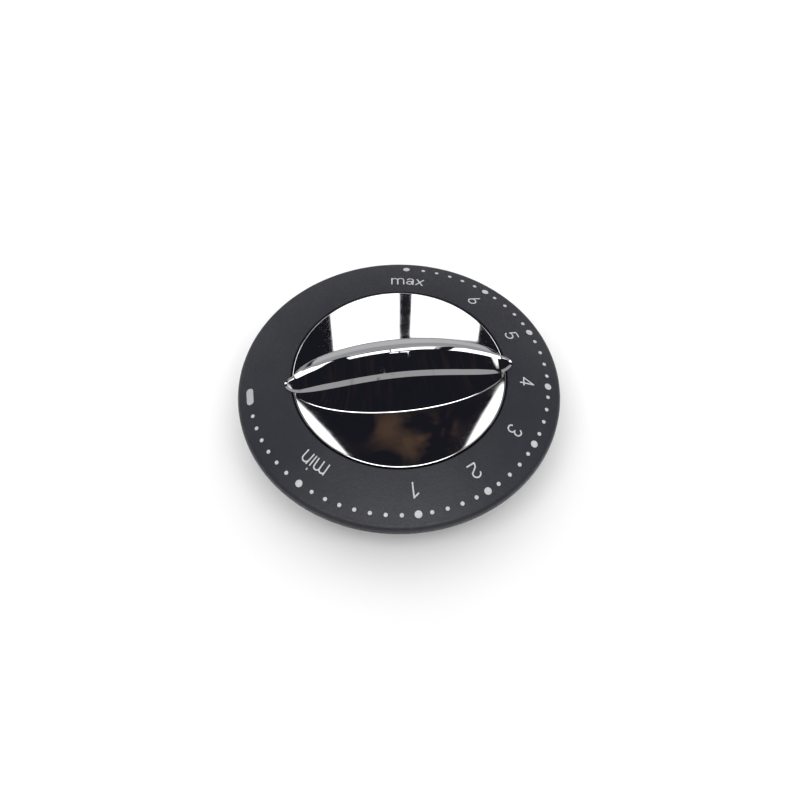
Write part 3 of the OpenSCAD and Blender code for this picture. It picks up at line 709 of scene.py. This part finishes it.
def top_height(x):
    """Height of the grip's arched top over the disc, flattening out into the noses."""
    arch = GRIP_H - (ARCH_R - math.sqrt(ARCH_R**2 - x * x))
    return smooth_max(arch, NOSE_H, 0.2)


CROWN_PLACES = (0.0, 0.54, 0.58, 0.62, 0.66, 0.76, 0.86, 0.93)


def crown_share(t):
    """Fall of the grip's top from its middle (0) to its edge (1), over the fall of its outer slope."""
    flat, bent, bent_slope = 0.58, 0.66, 0.714
    bend = min(max(t - flat, 0.0), bent - flat)
    outer = max(t - bent, 0.0)
    gain = (1 - bent_slope) / (1 - bent)
    return bent_slope * bend**2 / (2 * (bent - flat)) + bent_slope * outer + gain * outer**2 / 2


def flank_y(x, z):
    """Half-width of the grip between its flanks, z above the disc's face."""
    slope = (foot_half(x) - edge_half(x)) / (top_height(x) - BEVEL_H) if z > 0 else 1.0
    return foot_half(x) - slope * z


def outline_places():
    """Places along X from the middle of a side to the tip of a nose, close together at the disc's edge."""
    spans = ((0.0, 20.4, 44), (20.4, 21.6, 20))
    places = [low + (high - low) * i / count for low, high, count in spans for i in range(count)]
    first = math.asin(spans[-1][1] / GRIP_HALF)
    return places + [GRIP_HALF * math.sin(first + (math.pi / 2 - first) * i / 18) for i in range(19)]


def grip_ray(x, fall):
    """The grip's surface at one place of its outline: from the middle of the top out, down and under."""
    at_tip = smooth_step(x, TIP_START, GRIP_HALF)
    edge = Vector((x, edge_half(x)))
    slope_x = EDGE_POWER * (x / GRIP_HALF) ** (EDGE_POWER - 1) / GRIP_HALF
    normal = Vector((slope_x, 2 * edge.y / EDGE_HALF**2)).normalized()
    bevel_w = BEVEL_W + (TIP_BEVEL_W - BEVEL_W) * at_tip
    bevel_h = BEVEL_H * bevel_w / BEVEL_W
    rise = bevel_h / bevel_w
    inner = edge - normal * bevel_w
    crown = fall * inner.y
    inner_z = top_height(inner.x) - crown * crown_share(1.0)
    edge_z = inner_z - bevel_h

    ray = [
        Vector((inner.x, inner.y * t, top_height(inner.x) - crown * crown_share(t)))
        for t in CROWN_PLACES
    ]
    # points just beside the top's edge keep the bevel's shading apart from the top's
    ray.append(Vector((*(inner - normal * 0.02), inner_z)))
    ray.append(Vector((*(inner + normal * 0.04), inner_z - rise * 0.04)))
    ray.append(Vector((*(edge - normal * bevel_w * 0.5), edge_z + bevel_h * 0.5)))
    ray.append(Vector((*edge, edge_z)))

    # over the disc the flank runs down into a hollow fillet and on below the disc's face
    foot = Vector((x, foot_half(x)))
    spread = foot.y - edge.y
    outwards = Vector((0, 1))
    lean = math.atan2(edge_z, max(spread, 0.05))
    fillet = FILLET_R * smooth_step(BLEND_R - foot.length, 0.0, 1.2) + 0.02
    tangent = fillet * math.tan(lean / 2)
    start = foot - outwards * tangent * math.cos(lean)
    start_z = tangent * math.sin(lean)
    flank = []
    for t in (0.03, 0.35, 0.7, 1.0):
        flank.append(Vector((*edge.lerp(start, t), edge_z + (start_z - edge_z) * t)))
    for i in range(1, 9):
        a = math.radians(270) - lean * (1 - i / 8) + math.radians(1.5) * i / 8
        out, z = tangent + fillet * math.cos(a), fillet + fillet * math.sin(a) - 0.004 * i / 8
        flank.append(Vector((*(foot + outwards * out), z)))
    flank.append(Vector((*(foot + outwards * tangent), -SINK)))

    # beyond the disc the side turns under to the nose's lower face, which runs back to the disc
    side_round = min(NOSE_ROUND, (edge_z - NOSE_LIFT) / 2)
    nose = []
    for t in (0.03, 0.35, 0.7, 1.0):
        nose.append(Vector((*edge, edge_z + (NOSE_LIFT + side_round - edge_z) * t)))
    for i in range(1, 6):
        a = math.radians(-18 * i)
        out, z = side_round * (math.cos(a) - 1), NOSE_LIFT + side_round * (1 + math.sin(a))
        nose.append(Vector((*(edge + normal * out), z)))
    back = edge.normalized() * min(edge.length, BLEND_R)
    last = nose[-1]
    for t in (0.5, 1.0):
        nose.append(Vector((last.x + (back.x - last.x) * t, last.y + (back.y - last.y) * t, NOSE_LIFT)))
    nose.append(Vector((*back, -0.1)))
    nose.append(Vector((*back, -SINK)))
    share = smooth_step(foot.length if x < FOOT_LONG else GRIP_HALF, BLEND_R - 0.05, BLEND_R + 0.2)
    return ray + [p.lerp(q, share) for p, q in zip(flank, nose)]


def grip_bar():
    """The bar grip, one ray of points for each place on its outline, mirrored to all four quarters."""
    places = outline_places()
    back = [grip_ray(x, CROWN) for x in places]
    front = [grip_ray(x, FRONT_CROWN) for x in places]
    rings = []
    for k in range(len(back[0])):
        far = [ray[k] for ray in back]
        near = [ray[k] for ray in front]
        ring = [(p.x, p.y, p.z) for p in far]
        ring += [(p.x, -p.y, p.z) for p in reversed(near[:-1])]
        ring += [(-p.x, -p.y, p.z) for p in near[1:]]
        ring += [(-p.x, p.y, p.z) for p in reversed(far[1:-1])]
        rings.append([(x, y, DISC_TOP + z) for x, y, z in ring])
    return loft("grip", rings, open_start=True)


def grip_hollow():
    """The inside of the cap, a wall's thickness in from the grip."""
    rings = []
    sections = 30
    sideways = 1.4 * CAP_WALL
    length = CAP_R - 4.6
    low = DISC_UNDER - DISC_TOP - 0.5
    for i in range(sections + 1):
        x = length * (2 * i / sections - 1)
        ceiling = top_height(x) - CAP_WALL
        ceiling_y = flank_y(x, ceiling) - sideways
        floor_y = flank_y(x, low) - sideways
        half = rounded([(0, ceiling, 0), (ceiling_y, ceiling, 0.4), (floor_y, low, 0), (0, low, 0)], 4, False)
        ring = [(x, y, DISC_TOP + z) for y, z in half]
        ring += [(x, -y, DISC_TOP + z) for y, z in reversed(half[1:-1])]
        rings.append(ring)
    return loft("hollow", rings)


def screw_boss(side):
    """A post inside the cap that takes one of the two screws, from the web up to the cap's ceiling."""
    overlap = 0.05
    low = DISC_UNDER + overlap
    bore_end = DISC_UNDER + SCREW_DEPTH
    high = DISC_TOP + top_height(SCREW_X - BOSS_R) - CAP_WALL + overlap
    profile = [(SCREW_BORE, low), (BOSS_R, low), (BOSS_R, high)]
    profile += [(0, high), (0, bore_end), (SCREW_BORE, bore_end)]
    boss = lathe("boss", profile, 48)
    boss.data.transform(Matrix.Translation((side * SCREW_X, 0, 0)))
    return boss


def grip_cap():
    """Disc and grip in one, hollow underneath, with two screw bosses."""
    disc_profile = [(0, DISC_UNDER), (CAP_R - DISC_BREAK, DISC_UNDER), (CAP_R, DISC_UNDER + DISC_BREAK)]
    disc_profile += arc(CAP_R - DISC_ROUND, DISC_TOP - DISC_ROUND, DISC_ROUND, 0, 90, 10)
    disc_profile += [(0, DISC_TOP)]
    disc = lathe("cap", disc_profile, 360)
    bm = bmesh.new()
    bm.from_mesh(disc.data)
    for level in (DISC_TOP, DISC_UNDER):
        fan = [f for f in bm.faces if all(abs(v.co.z - level) < 1e-6 for v in f.verts)]
        bmesh.ops.dissolve_faces(bm, faces=fan)
    bm.to_mesh(disc.data)
    bm.free()
    combine(disc, grip_bar(), "UNION")
    combine(disc, grip_hollow(), "DIFFERENCE")
    for side in (-1, 1):
        combine(disc, screw_boss(side), "UNION")
    finish_mesh(disc, 11.5, weighted=True)
    return place(disc, "grip_cap", "dial", CHROME)


# ------------------------------------------------------------------ carried-over CAD pieces

# material of each piece
CAD_LOOKS = {
    "knob_hub": BLACK_NYLON,
    "shaft_spring": SPRING_STEEL,
    "cap_screws": ZINC_STEEL,
    "bush_nut": NICKEL_BRASS,
    "lock_washer": ZINC_STEEL,
    "mounting_bracket": ZINC_PLATE,
    "bush_plate": DIE_CAST,
    "control_shaft": SHAFT_STEEL,
    "shaft_circlip": BLUED_STEEL,
    "rotor": WHITE_ACETAL,
    "wiper_spring": PHOSPHOR_BRONZE,
    "element_wafer": PHENOLIC,
    "resistive_track": CARBON_FILM,
    "collector_ring": SILVER_FILM,
    "terminals": TINNED_BRASS,
    "terminal_rivets": RIVET_BRASS,
    "rear_case": CASE_STEEL,
}

# width of the rounding on the edges of the pieces that get one, in millimetres
EDGE_ROUND = {
    "knob_hub": 0.12,
    "cap_screws": 0.08,
    "bush_nut": 0.12,
    "lock_washer": 0.06,
    "mounting_bracket": 0.15,
    "shaft_circlip": 0.06,
    "element_wafer": 0.08,
    "terminals": 0.08,
    "terminal_rivets": 0.08,
}


def dress_cad_nodes():
    """Materials for the pieces taken over from the CAD, and a small rounding of their edges."""
    for node, material in CAD_LOOKS.items():
        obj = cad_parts[node]
        obj.data.materials.clear()
        obj.data.materials.append(material)
        if node in EDGE_ROUND:
            mod = obj.modifiers.new("broken edges", "BEVEL")
            mod.width = EDGE_ROUND[node] * MM
            mod.segments = 2
            mod.limit_method = "ANGLE"
            mod.angle_limit = math.radians(40)
            mod.harden_normals = True


# ------------------------------------------------------------------ stage


def floor():
    """A plain pale plane that the part stands on."""
    level = CAD_BOX[0].z
    size = 3.0
    verts = [(-size, -size, level), (size, -size, level), (size, size, level), (-size, size, level)]
    obj = mesh_object("floor", verts, [(0, 1, 2, 3)])
    look = Look("floor_paper", Roughness=0.9)
    look.colour(look.blend(look.noise(120, 2), (0.86, 0.86, 0.86), (0.88, 0.88, 0.88)))
    obj.data.materials.append(look.material)


def camera():
    """Camera at the same elevation and turn as the reference view."""
    elevation, azimuth = math.radians(CAMERA_ELEVATION), math.radians(CAMERA_AZIMUTH)
    aim = Vector((0, 0, (RIM_Z + 0.5) * MM))
    back = Vector(
        (
            math.sin(azimuth) * math.cos(elevation),
            -math.cos(azimuth) * math.cos(elevation),
            math.sin(elevation),
        )
    )
    data = bpy.data.cameras.new("camera")
    data.sensor_width = 36.0
    data.lens = 45.54
    data.shift_x = 0.0012
    data.shift_y = -0.0149
    data.clip_start = 0.01
    data.clip_end = 20
    obj = bpy.data.objects.new("camera", data)
    bpy.context.scene.collection.objects.link(obj)
    obj.location = aim + back * CAMERA_DISTANCE * MM
    obj.rotation_euler = (-back).to_track_quat("-Z", "Y").to_euler()
    bpy.context.scene.camera = obj


# A soft box of the studio as the part sees it, in degrees: azimuth and elevation from and to (azimuth 0 is
# straight ahead of the camera), softness of its edges, brightness, lean of its sides, and the fall and bow
# of its top and bottom.
Box = namedtuple("Box", "az el soft power lean fall bow", defaults=(0, 0, 0))
SOFT_BOXES = {
    "window, left pane": Box((-6.2, 0.05), (49.3, 53.35), 0.1, 1.9),
    "window, right pane": Box((1.1, 7.4), (49.3, 52.72), 0.1, 1.9, lean=0.05),
    "strip, left part": Box((-29, -5.9), (41.9, 45.2), 0.2, 1.8, fall=0.15, bow=0.009),
    "strip, right part": Box((-5.2, 18), (41.9, 45.2), 0.2, 1.8, fall=0.15, bow=0.009),
    "side window, left": Box((-58, -34), (20, 38.4), 0.4, 1.9, fall=-0.135),
    "side window, right": Box((25.5, 50), (37, 55), 0.4, 1.9, fall=0.66),
    "far wall": Box((-26, 20), (24, 38.5), 1.0, 0.55),
    "far wall, low": Box((-95, 95), (2, 21), 1.5, 0.33),
    "wing, left": Box((-14, -8.4), (54.9, 59.6), 0.2, 1.8, lean=-1.35),
    "wing, right": Box((8.4, 13), (54.9, 59.4), 0.2, 1.8, lean=0.75),
    "ceiling": Box((-119, 119), (68, 90), 3, 0.34),
    "ceiling, zenith": Box((-180, 180), (82, 90), 2, 0.34),
    "side wall, right": Box((56, 119), (33, 70), 1.0, 0.34),
    "side wall, left": Box((-119, -62), (38, 70), 3, 0.34),
    "lamp behind the camera": Box((120, 240), (49, 74), 2.5, 5.0),
}


def studio():
    """World light: a dim room with soft boxes, and a plain pale backdrop for the camera."""
    world = bpy.data.worlds.new("studio")
    bpy.context.scene.world = world
    world.use_nodes = True
    tree = world.node_tree
    tree.nodes.clear()

    def node(kind, *inputs, **props):
        made = tree.nodes.new(kind)
        for key, value in props.items():
            setattr(made, key, value)
        for index, value in enumerate(inputs):
            if isinstance(value, bpy.types.NodeSocket):
                tree.links.new(value, made.inputs[index])
            elif value is not None:
                made.inputs[index].default_value = value
        return made

    def maths(operation, *inputs):
        return node("ShaderNodeMath", *inputs, operation=operation).outputs[0]

    direction = node("ShaderNodeTexCoord").outputs["Generated"]
    axes = node("ShaderNodeSeparateXYZ", direction)
    x, y, z = axes.outputs
    azimuth = maths("ADD", maths("DEGREES", maths("ARCTAN2", x, y)), CAMERA_AZIMUTH)
    elevation = maths("DEGREES", maths("ARCSINE", z))

    def inside(value, centre, half, soft, wrap=False):
        """1 within half of centre, falling softly to 0 outside it; wrap goes round the full circle."""
        off = maths("SUBTRACT", value, centre)
        if wrap:
            off = maths("WRAP", off, 180.0, -180.0)
        off = maths("ABSOLUTE", off)
        return node(
            "ShaderNodeMapRange", off, half + soft, half - soft, 0.0, 1.0, interpolation_type="SMOOTHSTEP"
        ).outputs[0]

    # a dim room, with one brown smear ahead of the camera
    room = node("ShaderNodeTexNoise", direction)
    room.inputs["Scale"].default_value = 22.0
    room.inputs["Detail"].default_value = 3.0
    room.inputs["Distortion"].default_value = 0.8
    smear = node("ShaderNodeMapRange", room.outputs["Fac"], 0.5, 0.68, 0.0, 1.0).outputs[0]
    ahead = maths("MULTIPLY", inside(azimuth, 1.5, 4.5, 2.0, True), inside(elevation, 58.3, 1.3, 0.8))
    brown = maths("MULTIPLY", smear, maths("MAXIMUM", ahead, 0.12))
    tint = node("ShaderNodeMix", data_type="RGBA")
    tree.links.new(brown, tint.inputs[0])
    tint.inputs[6].default_value = (0.010, 0.010, 0.015, 1)
    tint.inputs[7].default_value = (0.075, 0.047, 0.032, 1)
    dim = node("ShaderNodeBackground", tint.outputs[2], 1.0)
    light = 0.0
    for box in SOFT_BOXES.values():
        az_mid, el_mid = sum(box.az) / 2, sum(box.el) / 2
        drop = maths("ADD", maths("MULTIPLY", azimuth, box.bow), box.fall)
        level = maths("ADD", elevation, maths("MULTIPLY", azimuth, drop))
        sheared = maths("ADD", azimuth, maths("MULTIPLY", maths("SUBTRACT", elevation, el_mid), box.lean))
        across = inside(sheared, az_mid, (box.az[1] - box.az[0]) / 2, box.soft, True)
        upward = inside(level, el_mid, (box.el[1] - box.el[0]) / 2, box.soft)
        light = maths("MAXIMUM", light, maths("MULTIPLY", maths("MULTIPLY", across, upward), box.power))
    boxes = node("ShaderNodeBackground", (1, 1, 1, 1), light)
    shine = node("ShaderNodeAddShader", dim.outputs[0], boxes.outputs[0])
    backdrop = node("ShaderNodeBackground", (1, 1, 1, 1), 1.0)
    seen = node("ShaderNodeLightPath").outputs["Is Camera Ray"]
    mix = node("ShaderNodeMixShader", seen, shine.outputs[0], backdrop.outputs[0])
    out = tree.nodes.new("ShaderNodeOutputWorld")
    tree.links.new(mix.outputs[0], out.inputs[0])


def overhead():
    """A broad soft light above, for the floor and the dull surfaces; mirrors do not show it."""
    data = bpy.data.lights.new("overhead", "AREA")
    data.size = 0.8
    data.energy = 2.4
    lamp = bpy.data.objects.new("overhead", data)
    lamp.location = (0, 0, 0.6)
    lamp.visible_glossy = False
    bpy.context.collection.objects.link(lamp)


def main():
    camera()
    studio()
    overhead()
    floor()
    skirt()
    scale_dots()
    off_mark()
    scale_legend()
    grip_cap()
    dress_cad_nodes()
    scene = bpy.context.scene
    scene.view_settings.view_transform = "Standard"
    scene.view_settings.look = "None"


main()
